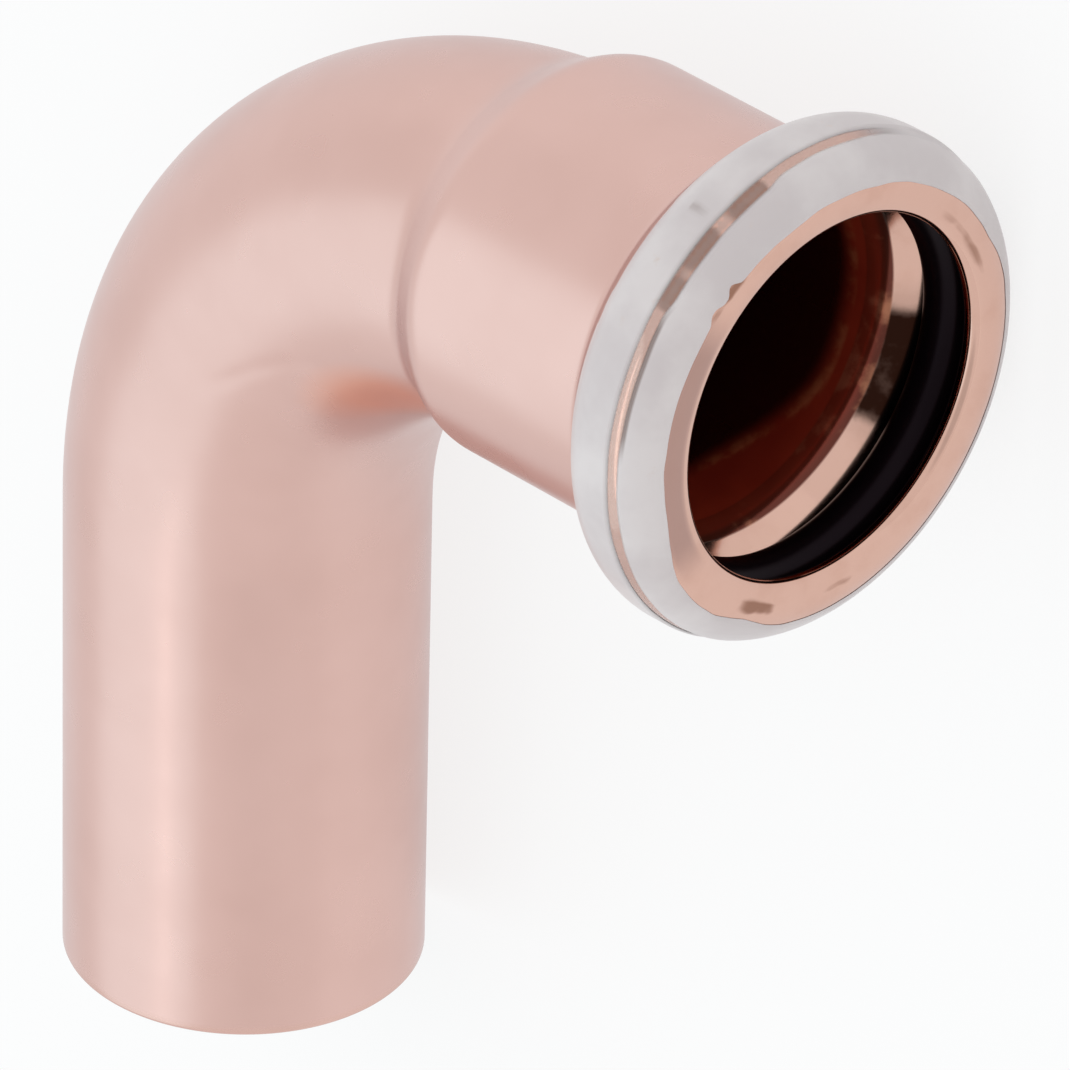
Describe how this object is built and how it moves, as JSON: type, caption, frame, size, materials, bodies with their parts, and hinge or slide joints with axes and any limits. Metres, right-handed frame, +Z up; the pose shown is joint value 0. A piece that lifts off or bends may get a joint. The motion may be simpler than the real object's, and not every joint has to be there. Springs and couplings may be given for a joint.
{
  "type": "press fitting bend",
  "caption": "Copper right-angle press fitting: a plain tube end bends into a flared press socket whose bead holds a rubber seal ring under a thin milky film.",
  "frame": {"origin": "centre of the plain end's rim", "axes": "+Y along the plain end into the fitting, +X towards the socket's mouth, +Z up from the surface on which the fitting lies"},
  "size_m": [0.0604, 0.075, 0.0312],
  "materials": {
    "copper": "satin copper",
    "rubber": "smooth black rubber",
    "film": "milky film with a clear strip"
  },
  "bodies": {
    "root": {"body": "copper", "seal_ring": "rubber", "pressing_indicator": "film"}
  },
  "joints": []
}
